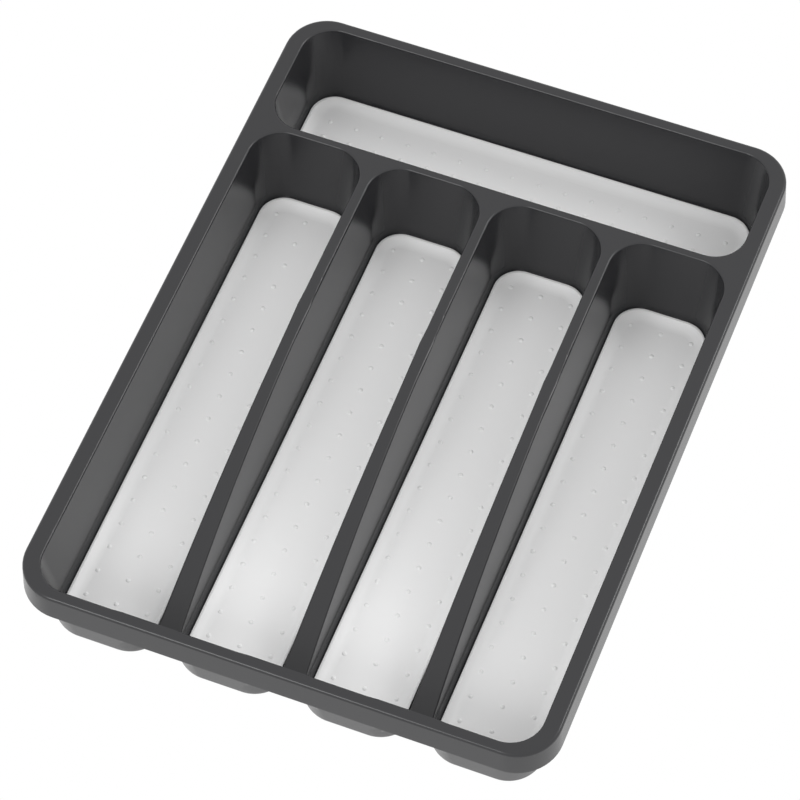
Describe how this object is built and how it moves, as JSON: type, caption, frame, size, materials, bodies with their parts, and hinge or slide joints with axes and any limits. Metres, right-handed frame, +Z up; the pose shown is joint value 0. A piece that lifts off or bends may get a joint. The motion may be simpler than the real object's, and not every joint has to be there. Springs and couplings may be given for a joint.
{
  "type": "cutlery tray",
  "caption": "Low rectangular drawer tray with a long cross compartment at the back, smaller lengthwise compartments in front, a rolled rim and soft bumpy floor liners.",
  "frame": {"origin": "middle of the tray on the surface it stands on, under its rubber feet", "axes": "+X to the right, +Y to the back, where the long cross compartment is, +Z up"},
  "size_m": [0.2404, 0.3284, 0.048],
  "materials": {
    "tray_plastic": "satin charcoal grey, finely spark-eroded mould texture",
    "liner_rubber": "soft matt thermoplastic rubber, pale grey",
    "foot_rubber": "matt dark grey rubber"
  },
  "bodies": {
    "root": {"tray_body": "tray_plastic", "liner_small_1": "liner_rubber", "liner_small_2": "liner_rubber", "liner_small_3": "liner_rubber", "liner_small_4": "liner_rubber", "liner_long": "liner_rubber", "foot_front_left": "foot_rubber", "foot_front_right": "foot_rubber", "foot_back_left": "foot_rubber", "foot_back_right": "foot_rubber"}
  },
  "joints": []
}
